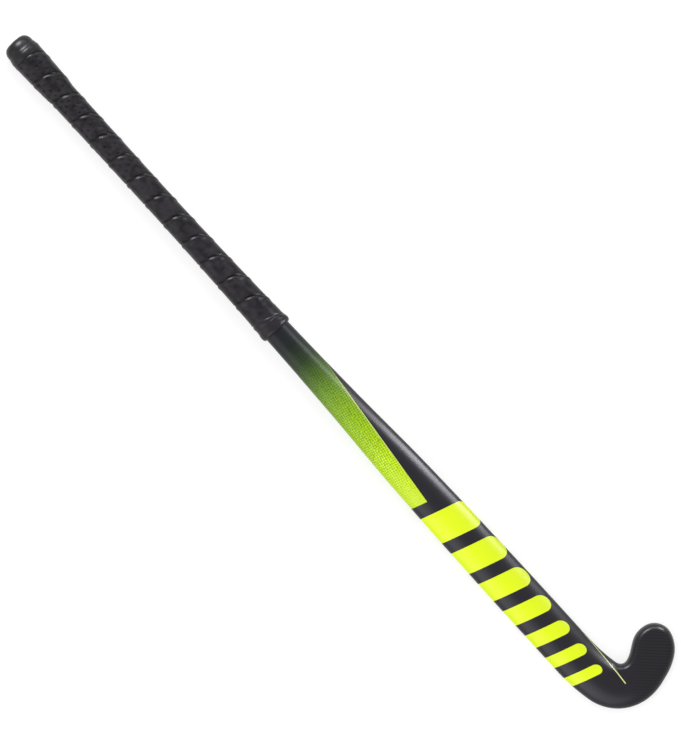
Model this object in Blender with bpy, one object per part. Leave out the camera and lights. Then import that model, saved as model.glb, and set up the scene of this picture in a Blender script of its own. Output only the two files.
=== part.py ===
"""Indoor hockey stick, lying on its flat playing face. Metres, +Z up.

Along the stick, x is the distance from the butt, y points to the toe side and z to the rounded back.
Each piece is laid out on a straight stick whose flat face is z = 0. bow_lift then bends it, and the
empty stick_frame puts the origin under the middle of the stick's box.
"""

import math

import bmesh
import bpy
import numpy as np

# The whole stick
STICK_LENGTH = 0.927
BOW_HEIGHT = 0.0155
BOW_PEAK_AT = 0.500
FLUSH_LENGTH = 0.117
CLEARANCE = 0.00035

# Handle and shaft: widths across the face, thicknesses from face to back
HANDLE_WIDTH = 0.0246
WAIST_WIDTH = 0.0229
WAIST_AT = 0.208
NECK_WIDTH = 0.0286
BLADE_WIDTH = 0.0467
BLADE_LENGTH = 0.187
HANDLE_THICKNESS = 0.0262
BLADE_THICKNESS = 0.0202
HEAD_THICKNESS = 0.0186
EDGE_HEIGHT = 0.0062
FACE_EDGE_ROUND = 0.0058
HEAD_BACK_ROUND = 0.0125
# How the width grows from neck to blade: share of the way, share of the growth
WIDTH_GROWTH = (
    (-0.13, -0.10),
    (0.13, 0.10),
    (0.32, 0.32),
    (0.55, 0.72),
    (0.76, 0.89),
    (1.00, 0.99),
    (1.10, 1.00),
)
GROWTH_BLEND = 0.06

# Hook: radii of its outline, from the heel round the base and the toe into the throat
HEEL_RADIUS = 0.207
BASE_RADIUS = 0.0508
TOE_RADIUS = 0.061
TOE_CORNER_RADIUS = 0.0346
TIP_RADIUS = 0.0189
TIP_INNER_RADIUS = 0.0269
THROAT_ENTRY_RADIUS = 0.0305
THROAT_RADIUS = 0.0073
THROAT_EXIT_RADIUS = 0.0229
THROAT_BLEND_RADIUS = 0.180
TOE_REACH = 0.0892

# Inside the laminate
WALL = 0.0028
WEB_THICKNESS = 0.0020
CORE_CLEARANCE = 0.0006
PLUG_LENGTH = 0.060
HEAD_CORE_LEAD = 0.020

# Butt cap: a dome with a groove and a rim, a skirt over the handle and a spigot in its bore
CAP_END_WALL = 0.0062
CAP_LENGTH = 0.0216
CAP_FACE_WIDTH = 0.014
CAP_DOME_HEIGHT = 0.0096
CAP_DOME_LIFT = 0.0032
CAP_GROOVE_DEPTH = 0.0005
CAP_GROOVE_WIDTH = 0.0012
CAP_RIM_AT = 0.0176
CAP_RIM_LIFT = 0.0047
CAP_SPIGOT_LENGTH = 0.018

# Flare sleeve under the first turns of the grip
FLARE_END = 0.067
FLARE_SHOULDER_AT = 0.057
FLARE_TOP = 0.0022
FLARE_SHOULDER = 0.0013
FLARE_EDGE = 0.00035

# Grip tape: one strip in a left-hand helix, each turn lapping over the one nearer the butt
GRIP_END = 0.3942
TAPE_PITCH = 0.02764
TAPE_LAP = 0.0035
TAPE_RAMP = 0.0035
TAPE_THICKNESS = 0.0019
TAPE_EDGE_THICKNESS = 0.0005
TAPE_LAP_THICKNESS = 0.0011
TAPE_BEVEL = 0.0025
TAPE_SELF_GAP = 0.00055
TAPE_SETTLE = 0.006
TAPE_END_WIDTH = 0.003
TAPE_SEAM_AT = 0.0205
TAPE_POINTS_A_TURN = 24
TAPE_LEAST_SPACING = 0.00015

# Finishing tape over the grip's lower end, which it squeezes
FINISH_LENGTH = 0.0195
FINISH_THICKNESS = 0.0004
FINISH_LIP_LENGTH = 0.0022
FINISH_LIP_RISE = 0.0003
GRIP_SQUEEZE = 0.45
SQUEEZE_RUN = 0.010

# Facets
BODY_STEPS = 10
CORE_STEPS = 6
COLLAR_STEPS = 24
CAP_STEPS = 4
HANDLE_STATIONS = 7
SHAFT_STATIONS = 15
HOOK_BLEND_STATIONS = 7

BLADE_START = STICK_LENGTH - BLADE_LENGTH
GRIP_START = CAP_LENGTH + CLEARANCE
TAPE_WIDTH = TAPE_PITCH + TAPE_LAP
FINISH_START = GRIP_END - FINISH_LENGTH
PLUG_START = CAP_END_WALL + CAP_SPIGOT_LENGTH + CLEARANCE
PLUG_END = PLUG_START + PLUG_LENGTH


def ease(share):
    """Smooth step from 0 to 1, level at both ends."""
    share = min(max(share, 0.0), 1.0)
    return share * share * (3.0 - 2.0 * share)


def mix(low, high, share):
    return low + (high - low) * share


def between(x, stops):
    """Value at x on straight runs between stops."""
    return float(np.interp(x, [stop[0] for stop in stops], [stop[1] for stop in stops]))


# Body sections


def body_width(x):
    """Width across the face: a slight waist in the handle, then a flare into the blade."""
    if x < WAIST_AT:
        return mix(HANDLE_WIDTH, WAIST_WIDTH, ease(x / WAIST_AT))
    if x < GRIP_END:
        return mix(WAIST_WIDTH, NECK_WIDTH, ((x - WAIST_AT) / (GRIP_END - WAIST_AT)) ** 2)
    share = (x - GRIP_END) / (BLADE_START - GRIP_END)
    nearby = [between(share + GROWTH_BLEND * k / 4.0, WIDTH_GROWTH) for k in range(-4, 5)]
    return mix(NECK_WIDTH, BLADE_WIDTH, sum(nearby) / len(nearby))


def shaft_section(x):
    """Thickness, height of the widest line, and how far in the face's and the back's edges round."""
    half = body_width(x) / 2.0
    share = ease((x - GRIP_END) / (BLADE_START - GRIP_END))
    thickness = mix(HANDLE_THICKNESS, BLADE_THICKNESS, share)
    edge = mix(HANDLE_THICKNESS / 2.0, EDGE_HEIGHT, share)
    return thickness, edge, mix(half, FACE_EDGE_ROUND, share), half


def hook_section(station):
    """The same four sizes at a station of the hook, counted from its start."""
    share = ease(station / HOOK_BLEND_STATIONS)
    thickness = mix(BLADE_THICKNESS, HEAD_THICKNESS, share)
    return thickness, EDGE_HEIGHT, FACE_EDGE_ROUND, mix(BLADE_WIDTH / 2.0, HEAD_BACK_ROUND, share)


def rise(depth, reach):
    """Quarter ellipse: 0 at the edge and 1 from reach inwards."""
    share = 1.0 - min(depth / reach, 1.0)
    return math.sqrt(1.0 - share * share)


def skin_heights(depth, section, inset):
    """Heights of face and back at a depth in from the edge, on the surface drawn in by inset."""
    thickness, edge, face_round, back_round = section
    low = edge - (edge - inset) * rise(depth, face_round - inset)
    high = edge + (thickness - edge - inset) * rise(depth, back_round - inset)
    return low, high


# The hook's outline


def trace(start, moves, inset=0.0):
    """Points along moves, which head along +X at first. A move has a radius, the degrees that it
    turns, to the left if positive, and its steps. A straight has a length and turns by 0."""
    x, y = start
    heading = 0.0
    points = [(x, y)]
    for size, degrees, steps in moves:
        for _ in range(steps):
            if degrees:
                radius = math.copysign(size, degrees) - inset
                after = heading + math.radians(degrees) / steps
                x += radius * (math.sin(after) - math.sin(heading))
                y += radius * (math.cos(heading) - math.cos(after))
                heading = after
            else:
                x += size / steps * math.cos(heading)
                y += size / steps * math.sin(heading)
            points.append((x, y))
    return points


def with_straight(before, after, steps, level):
    """The moves before and after, joined by the straight that brings their end to y = level."""
    end = trace((0.0, -BLADE_WIDTH / 2.0), before + after)[-1]
    heading = math.radians(sum(move[1] for move in before))
    return before + [((level - end[1]) / math.sin(heading), 0.0, steps)] + after


def hook_moves():
    """Outline from the heel round the base, up the toe, over its tip and down into the throat."""
    base = [(HEEL_RADIUS, 12.0, 3), (BASE_RADIUS, 78.0, 8), (TOE_RADIUS, 17.0, 2)]
    toe = [(TOE_RADIUS, 20.5, 2), (TOE_CORNER_RADIUS, 38.5, 3), (TIP_RADIUS, 14.0, 1)]
    tip = [(TIP_RADIUS, 30.0, 3), (TIP_RADIUS, 44.0, 4), (TIP_INNER_RADIUS, 51.0, 4)]
    throat = [
        (THROAT_ENTRY_RADIUS, -17.7, 2),
        (THROAT_RADIUS, -87.0, 7),
        (THROAT_EXIT_RADIUS, -9.2, 1),
        (THROAT_BLEND_RADIUS, -11.1, 3),
    ]
    outer = with_straight(base, toe, 1, TOE_REACH)
    return with_straight(outer + tip, throat, 2, BLADE_WIDTH / 2.0)


def hook_rails(inset):
    """Pairs of points on the heel side and the toe side of the hook, which meet at the tip."""
    moves = hook_moves()
    advance = trace((0.0, 0.0), moves[:2])[-1][0]
    points = trace((STICK_LENGTH - advance, inset - BLADE_WIDTH / 2.0), moves, inset)
    middle = len(points) // 2
    return list(zip(points[: middle + 1], reversed(points[middle:])))


def depth_inside(x, y, path):
    """Least distance from a point to the straight runs of path."""
    path = np.array(path)
    starts = path[:-1]
    runs = path[1:] - starts
    lengths = (runs**2).sum(axis=1)
    lengths[lengths == 0.0] = 1.0
    shares = np.clip((((x, y) - starts) * runs).sum(axis=1) / lengths, 0.0, 1.0)
    return float(np.sqrt((((x, y) - starts - shares[:, None] * runs) ** 2).sum(axis=1)).min())


# Rings of points round the body


def around_chord(heel, toe, section, inset, edges, steps):
    """Ring over the back from the heel side to the toe side, and back along the face."""
    backs = []
    faces = []
    for k in range(steps + 1):
        share = (1.0 - math.cos(math.pi * k / steps)) / 2.0
        x = mix(heel[0], toe[0], share)
        y = mix(heel[1], toe[1], share)
        depth = min(depth_inside(x, y, edge) for edge in edges)
        low, high = skin_heights(depth, section, inset)
        backs.append((x, y, high))
        faces.append((x, y, low))
    return backs + faces[-2:0:-1]


def shaft_ring(x, inset, steps=BODY_STEPS):
    half = body_width(x) / 2.0 - inset
    edges = [[(x - BLADE_WIDTH, side * half), (x + BLADE_WIDTH, side * half)] for side in (-1.0, 1.0)]
    return around_chord((x, -half), (x, half), shaft_section(x), inset, edges, steps)


def hook_rings(inset, steps=BODY_STEPS):
    """Rings from the hook's start to the tip, where they close in one point."""
    rails = hook_rails(inset)
    (heel_x, heel_y), (toe_x, toe_y) = rails[0]
    outline = [(heel_x - BLADE_WIDTH, heel_y), *(pair[0] for pair in rails)]
    outline += [*(pair[1] for pair in rails[-2::-1]), (toe_x - BLADE_WIDTH, toe_y)]
    rings = []
    for station, (heel, toe) in enumerate(rails[:-1]):
        section = hook_section(station)
        rings.append(around_chord(heel, toe, section, inset, [outline], steps))
    tip = rails[-1][0]
    return rings + [[(*tip, EDGE_HEIGHT)]]


def spread(start, end, count):
    """count + 1 places from start to end."""
    return [mix(start, end, k / count) for k in range(count + 1)]


def shaft_places(start, end):
    """Stations along the shaft, closer together where the body widens."""
    handle = spread(start, GRIP_END, HANDLE_STATIONS)[:-1] if start < GRIP_END else []
    return handle + spread(max(start, GRIP_END), end, SHAFT_STATIONS)


# Meshes


def bow_lift(x):
    """Height of the flat face over the table: level under the blade and hook, then a bow whose
    handle end comes down until the cap's rim touches the table."""
    flush_from = STICK_LENGTH - FLUSH_LENGTH
    rim_drop = CAP_RIM_LIFT * HANDLE_THICKNESS / body_width(CAP_RIM_AT)
    curved = BOW_PEAK_AT - GRIP_END
    slope = (BOW_HEIGHT - rim_drop) / (curved / 2.0 + GRIP_END - CAP_RIM_AT)
    if x > BOW_PEAK_AT:
        share = min((x - BOW_PEAK_AT) / (flush_from - BOW_PEAK_AT), 1.0)
        return BOW_HEIGHT * (1.0 + math.cos(math.pi * share)) / 2.0
    if x > GRIP_END:
        return BOW_HEIGHT - slope * (BOW_PEAK_AT - x) ** 2 / (2.0 * curved)
    return BOW_HEIGHT - slope * (curved / 2.0 + GRIP_END - x)


def loft(rings, ring_loop=False):
    """Points and faces of a skin over a chain of rings. An end ring of one point closes to it, a
    wider one gets a flat end, and with ring_loop the last ring joins the first."""
    points = []
    numbers = []
    for ring in rings:
        numbers.append(range(len(points), len(points) + len(ring)))
        points.extend(ring)
    faces = []
    pairs = list(zip(numbers, numbers[1:]))
    if ring_loop:
        pairs.append((numbers[-1], numbers[0]))
    for a, b in pairs:
        for k in range(max(len(a), len(b))):
            corners = [a[k % len(a)], a[(k + 1) % len(a)], b[(k + 1) % len(b)], b[k % len(b)]]
            faces.append(list(dict.fromkeys(corners)))
    if not ring_loop:
        faces += [list(ends) for ends in (numbers[0], numbers[-1]) if len(ends) > 1]
    return points, faces


def add_piece(name, skin, colour, roughness, metallic=0.0):
    """One closed sub-part with its own material, bent with the stick and hung in its frame."""
    points, faces = skin
    mesh = bpy.data.meshes.new(name)
    mesh.from_pydata([(x, y, z + bow_lift(x)) for x, y, z in points], [], faces)
    shape = bmesh.new()
    shape.from_mesh(mesh)
    bmesh.ops.recalc_face_normals(shape, faces=shape.faces)
    shape.to_mesh(mesh)
    shape.free()
    mesh.shade_smooth()
    mesh.set_sharp_from_angle(angle=math.radians(35.0))
    finish = bpy.data.materials.new(name)
    finish.use_nodes = True
    shader = finish.node_tree.nodes["Principled BSDF"]
    shader.inputs["Base Color"].default_value = (*colour, 1.0)
    shader.inputs["Roughness"].default_value = roughness
    shader.inputs["Metallic"].default_value = metallic
    mesh.materials.append(finish)
    piece = bpy.data.objects.new(name, mesh)
    bpy.context.scene.collection.objects.link(piece)
    piece.parent = bpy.data.objects["stick_frame"]
    return piece


# Body and what fills it


def stick_shell():
    """Laminate of handle, shaft and hook in one, open at the butt."""
    hook_start = hook_rails(0.0)[0][0][0]
    places = shaft_places(CAP_END_WALL + CLEARANCE, hook_start)[:-1]
    outer = [shaft_ring(x, 0.0) for x in places] + hook_rings(0.0)
    inner = [shaft_ring(x, WALL) for x in places] + hook_rings(WALL)
    return loft(outer[::-1] + inner)


def half_ring(x, side):
    """Ring round one chamber of the shaft: side is 1 at the toe and -1 at the heel."""
    inset = WALL + CORE_CLEARANCE
    half = body_width(x) / 2.0 - inset
    middle = WEB_THICKNESS / 2.0 + CLEARANCE
    backs = []
    faces = []
    for k in range(CORE_STEPS + 1):
        depth = (half - middle) * (1.0 - math.cos(math.pi * k / CORE_STEPS / 2.0))
        low, high = skin_heights(depth, shaft_section(x), inset)
        backs.append((x, side * (half - depth), high))
        faces.append((x, side * (half - depth), low))
    return backs + faces[:0:-1]


def chamber_places():
    """Stations from the plug to the head core."""
    head_core_start = hook_rails(0.0)[0][0][0] - HEAD_CORE_LEAD
    return shaft_places(PLUG_END + CLEARANCE, head_core_start - CLEARANCE)


def chamber_core(side):
    return loft([half_ring(x, side) for x in chamber_places()])


def spar_web():
    """Wall between the two chambers, from the face's laminate to the back's."""
    half = WEB_THICKNESS / 2.0
    rings = []
    for x in chamber_places():
        inset = WALL + CLEARANCE
        depth = body_width(x) / 2.0 - inset - half
        low, high = skin_heights(depth, shaft_section(x), inset)
        rings.append([(x, -half, low), (x, half, low), (x, half, high), (x, -half, high)])
    return loft(rings)


def head_core():
    inset = WALL + CORE_CLEARANCE
    start = hook_rails(0.0)[0][0][0] - HEAD_CORE_LEAD
    return loft([shaft_ring(start, inset, CORE_STEPS)] + hook_rings(inset, CORE_STEPS))


def handle_plug():
    inset = WALL + CLEARANCE
    return loft([shaft_ring(x, inset) for x in spread(PLUG_START, PLUG_END, 3)])


# What goes round the handle


def round_handle(x, angle, lift):
    """Point round the handle at an angle from +Y towards +Z, lift above its surface."""
    width = body_width(x)
    reach = 1.0 + 2.0 * lift / width
    half = HANDLE_THICKNESS / 2.0
    return x, reach * width / 2.0 * math.cos(angle), half + reach * half * math.sin(angle)


def collar(profile, ring_loop):
    """Turned piece round the handle, from the x and lift of each point of its profile."""
    rings = []
    for x, lift in profile:
        if lift <= -body_width(x) / 2.0:
            rings.append([(x, 0.0, HANDLE_THICKNESS / 2.0)])
            continue
        angles = [2.0 * math.pi * k / COLLAR_STEPS for k in range(COLLAR_STEPS)]
        rings.append([round_handle(x, angle, lift) for angle in angles])
    return loft(rings, ring_loop)


def bulge(start, crest, steps):
    """Quarter ellipse from one point of a profile up to another, which it reaches level."""
    turns = [math.pi / 2.0 * k / steps for k in range(steps + 1)]
    return [
        (mix(start[0], crest[0], 1.0 - math.cos(turn)), mix(start[1], crest[1], math.sin(turn)))
        for turn in turns
    ]


def butt_cap():
    """Domed cap. Its skirt and its spigot take the laminate's end between them."""
    axis = -body_width(0.0) / 2.0
    spigot = -WALL - CLEARANCE
    spigot_end = CAP_END_WALL + CAP_SPIGOT_LENGTH
    groove = (CAP_DOME_HEIGHT + CAP_GROOVE_WIDTH / 2.0, CAP_DOME_LIFT - CAP_GROOVE_DEPTH)
    rim = (CAP_RIM_AT, CAP_RIM_LIFT)
    foot = (CAP_LENGTH, CAP_DOME_LIFT)
    profile = [
        (0.0, axis),
        *bulge((0.0, axis + CAP_FACE_WIDTH / 2.0), (CAP_DOME_HEIGHT, CAP_DOME_LIFT), CAP_STEPS),
        groove,
        *bulge((CAP_DOME_HEIGHT + CAP_GROOVE_WIDTH, CAP_DOME_LIFT), rim, CAP_STEPS),
        *bulge(foot, rim, CAP_STEPS)[-2::-1],
        (CAP_LENGTH, CLEARANCE),
        (CAP_END_WALL, CLEARANCE),
        (CAP_END_WALL, spigot),
        (spigot_end, spigot),
        (spigot_end, axis),
    ]
    return collar(profile, ring_loop=False)


def flare_lift(x):
    """Top of the flare sleeve over the handle, and past its end what the tape bridges there."""
    stops = (
        (GRIP_START, FLARE_TOP),
        (FLARE_SHOULDER_AT, FLARE_SHOULDER),
        (FLARE_END, FLARE_EDGE + CLEARANCE),
        (FLARE_END + TAPE_SETTLE, 0.0),
    )
    return between(x, stops)


def flare_sleeve():
    places = [*spread(GRIP_START, FLARE_SHOULDER_AT, 2), FLARE_END]
    under = [(x, CLEARANCE) for x in reversed(places)]
    return collar([(x, flare_lift(x)) for x in places] + under, ring_loop=True)


def squeeze(x):
    """How thick the grip is at x, as a share: the finishing tape presses its end together."""
    return mix(1.0, GRIP_SQUEEZE, ease((x - FINISH_START + SQUEEZE_RUN) / SQUEEZE_RUN))


def tape_section(turns):
    """Section of the grip tape after so many turns, as x and lift over what it is wound on."""
    edge_x = TAPE_SEAM_AT + TAPE_PITCH * turns
    first = max(0.0, GRIP_START - edge_x)
    last = min(TAPE_WIDTH, GRIP_END - edge_x)
    # Across the strip: raised over the turn below, 1 or 0, and thickness
    under = ((0.0, 1.0), (TAPE_LAP, 1.0), (TAPE_LAP + TAPE_RAMP, 0.0), (TAPE_WIDTH, 0.0))
    over = (
        (0.0, TAPE_LAP_THICKNESS - TAPE_SELF_GAP),
        (TAPE_SELF_GAP, TAPE_LAP_THICKNESS),
        (TAPE_LAP, TAPE_LAP_THICKNESS),
        (TAPE_LAP + TAPE_RAMP + TAPE_SELF_GAP, TAPE_THICKNESS),
        (TAPE_PITCH - TAPE_BEVEL, TAPE_THICKNESS),
        (TAPE_PITCH, TAPE_EDGE_THICKNESS),
        (TAPE_WIDTH, TAPE_EDGE_THICKNESS),
    )
    across_under = [stop[0] for stop in under]
    across_under.insert(3, mix(across_under[2], across_under[3], 0.5))
    across_over = [stop[0] for stop in over][1:]
    points = []
    for across, covers in ((across_under, 0.0), (across_over[::-1], 1.0)):
        count = len(across)
        for k, place in enumerate(across):
            rank = k if across[0] < across[-1] else count - 1 - k
            place = max(place, first + rank * TAPE_LEAST_SPACING)
            place = min(place, last - (count - 1 - rank) * TAPE_LEAST_SPACING)
            x = edge_x + place
            raised = between(place, under) * (TAPE_EDGE_THICKNESS * squeeze(x) + TAPE_SELF_GAP)
            points.append((x, raised + covers * between(place, over) * squeeze(x)))
    return points


def tape_turns():
    """Turns, counted from the seam's place, at which the tape has its sections."""
    first = (GRIP_START + TAPE_END_WIDTH - TAPE_WIDTH - TAPE_SEAM_AT) / TAPE_PITCH
    last = (GRIP_END - TAPE_END_WIDTH - TAPE_SEAM_AT) / TAPE_PITCH
    steps = round((last - first) * TAPE_POINTS_A_TURN)
    return [first + k / TAPE_POINTS_A_TURN for k in range(steps + 1)]


def tape_lift(x):
    """Lift of what the grip tape is wound on, with its clearance."""
    return flare_lift(x) + CLEARANCE


def grip_tape():
    """The wound strip. Its edge crosses the middle of the back at TAPE_SEAM_AT."""
    rings = []
    for turns in tape_turns():
        angle = math.pi / 2.0 - 2.0 * math.pi * turns
        ring = [round_handle(x, angle, tape_lift(x) + lift) for x, lift in tape_section(turns)]
        rings.append(ring)
    return loft(rings)


def least_tape_gap():
    """Least gap between one turn of the tape and the next, over points along both sections."""
    least = math.inf
    shares = np.linspace(0.0, 1.0, 12)[:, None]
    for turns in tape_turns()[:-TAPE_POINTS_A_TURN]:
        outlines = []
        for section in (tape_section(turns), tape_section(turns + 1.0)):
            corners = np.array([(x, tape_lift(x) + lift) for x, lift in section])
            runs = np.roll(corners, -1, axis=0) - corners
            outlines.append(np.concatenate([corner + shares * run for corner, run in zip(corners, runs)]))
        apart = outlines[0][:, None, :] - outlines[1][None, :, :]
        least = min(least, float(np.sqrt((apart**2).sum(axis=2)).min()))
    return least


def finishing_tape():
    """Band round the grip's lower end. Its lip closes down to the bare shaft."""
    raised = TAPE_EDGE_THICKNESS * GRIP_SQUEEZE + TAPE_SELF_GAP
    under = raised + TAPE_LAP_THICKNESS * GRIP_SQUEEZE + 2.0 * CLEARANCE
    over = under + FINISH_THICKNESS
    inside = GRIP_END + CLEARANCE
    end = inside + FINISH_LIP_LENGTH
    profile = [
        (FINISH_START, under),
        (FINISH_START, mix(under, over, 0.7)),
        (FINISH_START + FINISH_THICKNESS, over),
        (inside - FINISH_LIP_LENGTH, over + FINISH_LIP_RISE),
        (mix(inside, end, 0.5), over),
        (mix(inside, end, 0.9), mix(CLEARANCE, over, 0.6)),
        (end, mix(CLEARANCE, over, 0.3)),
        (end, CLEARANCE),
        (inside, CLEARANCE),
        (inside, under),
    ]
    return collar(profile, ring_loop=True)


# Assembly


def main():
    for leftover in list(bpy.data.objects):
        bpy.data.objects.remove(leftover, do_unlink=True)
    frame = bpy.data.objects.new("stick_frame", None)
    frame.location = (-STICK_LENGTH / 2.0, (BLADE_WIDTH / 2.0 - TOE_REACH) / 2.0, 0.0)
    bpy.context.scene.collection.objects.link(frame)
    add_piece("stick_shell", stick_shell(), (0.026, 0.026, 0.031), 0.30)
    add_piece("spar_web", spar_web(), (0.030, 0.030, 0.032), 0.55)
    add_piece("toe_side_core", chamber_core(1.0), (0.62, 0.58, 0.48), 0.85)
    add_piece("heel_side_core", chamber_core(-1.0), (0.62, 0.58, 0.48), 0.85)
    add_piece("head_core", head_core(), (0.55, 0.52, 0.44), 0.85)
    add_piece("handle_plug", handle_plug(), (0.42, 0.28, 0.15), 0.75)
    add_piece("butt_cap", butt_cap(), (0.017, 0.017, 0.019), 0.25)
    add_piece("flare_sleeve", flare_sleeve(), (0.06, 0.06, 0.062), 0.80)
    add_piece("grip_tape", grip_tape(), (0.028, 0.028, 0.032), 0.48)
    add_piece("finishing_tape", finishing_tape(), (0.024, 0.024, 0.027), 0.32)
    print(f"least gap between turns of the grip tape: {least_tape_gap() * 1000.0:.2f} mm")


main()
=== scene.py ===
"""Looks of the indoor hockey stick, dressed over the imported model. Metres, +Z up.

As in the model, each piece is laid out on a straight stick: x is the distance from the butt, y points
to the toe side and z to the rounded back. placed() bends it with the bow and moves it to its place.
"""

import math

import bmesh
import bpy
import numpy as np
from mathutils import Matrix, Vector


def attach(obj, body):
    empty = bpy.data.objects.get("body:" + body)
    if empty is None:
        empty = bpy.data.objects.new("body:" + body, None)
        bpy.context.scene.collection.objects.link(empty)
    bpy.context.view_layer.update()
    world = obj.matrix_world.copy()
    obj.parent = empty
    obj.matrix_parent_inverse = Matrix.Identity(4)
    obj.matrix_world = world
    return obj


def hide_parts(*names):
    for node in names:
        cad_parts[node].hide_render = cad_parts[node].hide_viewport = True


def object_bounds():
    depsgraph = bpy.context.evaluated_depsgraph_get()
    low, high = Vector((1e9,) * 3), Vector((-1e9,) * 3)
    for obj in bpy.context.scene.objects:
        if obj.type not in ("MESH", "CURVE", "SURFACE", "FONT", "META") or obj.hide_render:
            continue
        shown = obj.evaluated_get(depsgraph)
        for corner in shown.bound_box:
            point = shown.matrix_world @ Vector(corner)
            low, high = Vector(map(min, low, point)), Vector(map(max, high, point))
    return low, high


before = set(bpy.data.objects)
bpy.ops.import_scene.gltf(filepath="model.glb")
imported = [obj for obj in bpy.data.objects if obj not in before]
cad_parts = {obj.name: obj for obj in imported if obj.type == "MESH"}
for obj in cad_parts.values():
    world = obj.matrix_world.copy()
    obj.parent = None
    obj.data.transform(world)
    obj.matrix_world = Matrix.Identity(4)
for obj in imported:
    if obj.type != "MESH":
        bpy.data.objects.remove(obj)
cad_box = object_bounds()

# The whole stick, from its own box
STICK_LENGTH = cad_box[1].x - cad_box[0].x
TOE_REACH = 0.0892
BLADE_WIDTH = 0.0467
SHIFT = Vector((cad_box[0].x, cad_box[1].y - TOE_REACH, 0.0))
BOW_HEIGHT = 0.0155
BOW_PEAK_AT = 0.500
FLUSH_LENGTH = 0.117
CLEARANCE = 0.00035

# Handle and shaft
HANDLE_WIDTH = 0.0246
WAIST_WIDTH = 0.0229
WAIST_AT = 0.208
NECK_WIDTH = 0.0286
BLADE_LENGTH = 0.187
HANDLE_THICKNESS = 0.0262
BLADE_THICKNESS = 0.0202
HEAD_THICKNESS = 0.0186
EDGE_HEIGHT = 0.0062
FACE_EDGE_ROUND = 0.0058
HEAD_BACK_ROUND = 0.0125
WALL = 0.0028
# Growth in width from the neck to the blade: share of the way, share of the growth
WIDTH_GROWTH = (
    (-0.13, -0.10),
    (0.13, 0.10),
    (0.32, 0.32),
    (0.55, 0.72),
    (0.76, 0.89),
    (1.00, 0.99),
    (1.10, 1.00),
)
GROWTH_BLEND = 0.06
GROWTH_BLEND_STEPS = 8

# Hook: radii of its outline
HEEL_RADIUS = 0.207
BASE_RADIUS = 0.0508
TOE_RADIUS = 0.061
TOE_CORNER_RADIUS = 0.0346
TIP_RADIUS = 0.0189
TIP_INNER_RADIUS = 0.0269
THROAT_ENTRY_RADIUS = 0.0305
THROAT_RADIUS = 0.0073
THROAT_EXIT_RADIUS = 0.0229
THROAT_BLEND_RADIUS = 0.180
HOOK_BLEND_STATIONS = 7
# Back's rounding at the tip, and the stations between which the heel side and the throat reach it
TIP_BACK_ROUND = 0.0068
HEEL_TIGHTENS = (4, 20)
THROAT_TIGHTENS = (0, 6)

# How finely the body is drawn, the hook's stations in FINER steps each
FINER = 4
SKIN_STEPS = 44
SHAFT_STATION = 0.006
SHARP_EDGE = math.radians(40.0)
MERGE_DISTANCE = 1e-5
SHORTEST_RUN = 1e-9

# Butt cap and flare sleeve
CAP_END_WALL = 0.0062
CAP_LENGTH = 0.0216
CAP_FACE_WIDTH = 0.016
CAP_FACE_RING = 0.6
CAP_DOME_HEIGHT = 0.0088
CAP_DOME_LIFT = 0.0032
CAP_GROOVES = (0.0112, 0.0146)
CAP_GROOVE_DEPTH = 0.0003
CAP_GROOVE_REACH = 0.0010
CAP_FOOT_LIFT = 0.0042
CAP_RIM_AT = 0.0176
CAP_RIM_LIFT = 0.0047
CAP_SPIGOT_LENGTH = 0.018
CAP_STEPS = 14
ROUND_STEPS = 96
FLARE_END = 0.067
FLARE_SHOULDER_AT = 0.057
FLARE_TOP = 0.0022
FLARE_SHOULDER = 0.0013
FLARE_EDGE = 0.00035
FLARE_STATIONS = 8
FLARE_EDGE_STATIONS = 5

# Grip tape
GRIP_END = 0.3942
TAPE_PITCH = 0.02764
TAPE_LAP = 0.0035
TAPE_RAMP = 0.0035
TAPE_THICKNESS = 0.0019
TAPE_EDGE_THICKNESS = 0.0005
TAPE_LAP_LIFT = 0.0024
TAPE_SEAM_THICKNESS = 0.0014
TAPE_EDGE_ROUND = 0.0030
TAPE_BEVEL = 0.0013
TAPE_UNDERCUT = 0.0015
TAPE_SELF_GAP = 0.00005
TAPE_SETTLE = 0.006
TAPE_END_WIDTH = 0.003
TAPE_SEAM_AT = 0.0205
TAPE_TILT = 0.0042
TAPE_TURN_STEPS = 120
TAPE_TOP_STEPS = 44
TAPE_UNDER_STEPS = 6
TAPE_EDGE_STEPS = 6
TAPE_ROUND_LENGTH = 0.086

# Pits pressed into the grip's upper turns
PIT_SIZES = {
    "Spacing Along": 0.0115,
    "Spacing Across": 0.0080,
    "Diameter": 0.0042,
    "Depth": 0.0004,
    "Stray": 0.0022,
    "Fade Start": 0.150,
    "Fade End": 0.225,
}
PIT_SEED = 7
# Flat floor as a share of a pit's radius, and depth of the faintest pits as a share of the deepest
PIT_FLOOR = 0.45
PIT_FAINTEST = 0.4

# Finishing tape
FINISH_LENGTH = 0.0195
FINISH_THICKNESS = 0.0004
FINISH_LIP_LENGTH = 0.0022
FINISH_LIP_RISE = 0.0005
FINISH_LIP_RUN = 0.009
FINISH_LIP_STEPS = 12
FINISH_FIT = 0.0002
FINISH_FILM = 0.0001
FINISH_STEP_AT = 0.3843
FINISH_STEP_RUN = 0.0009
FINISH_TURN_STEP = 0.00035
FINISH_STATIONS = 90
GRIP_SQUEEZE = 0.72
SQUEEZE_RUN = 0.012

# Places that follow from these
BLADE_START = STICK_LENGTH - BLADE_LENGTH
GRIP_START = CAP_LENGTH + CLEARANCE
TAPE_WIDTH = TAPE_PITCH + TAPE_LAP
FINISH_START = GRIP_END - FINISH_LENGTH

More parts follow.
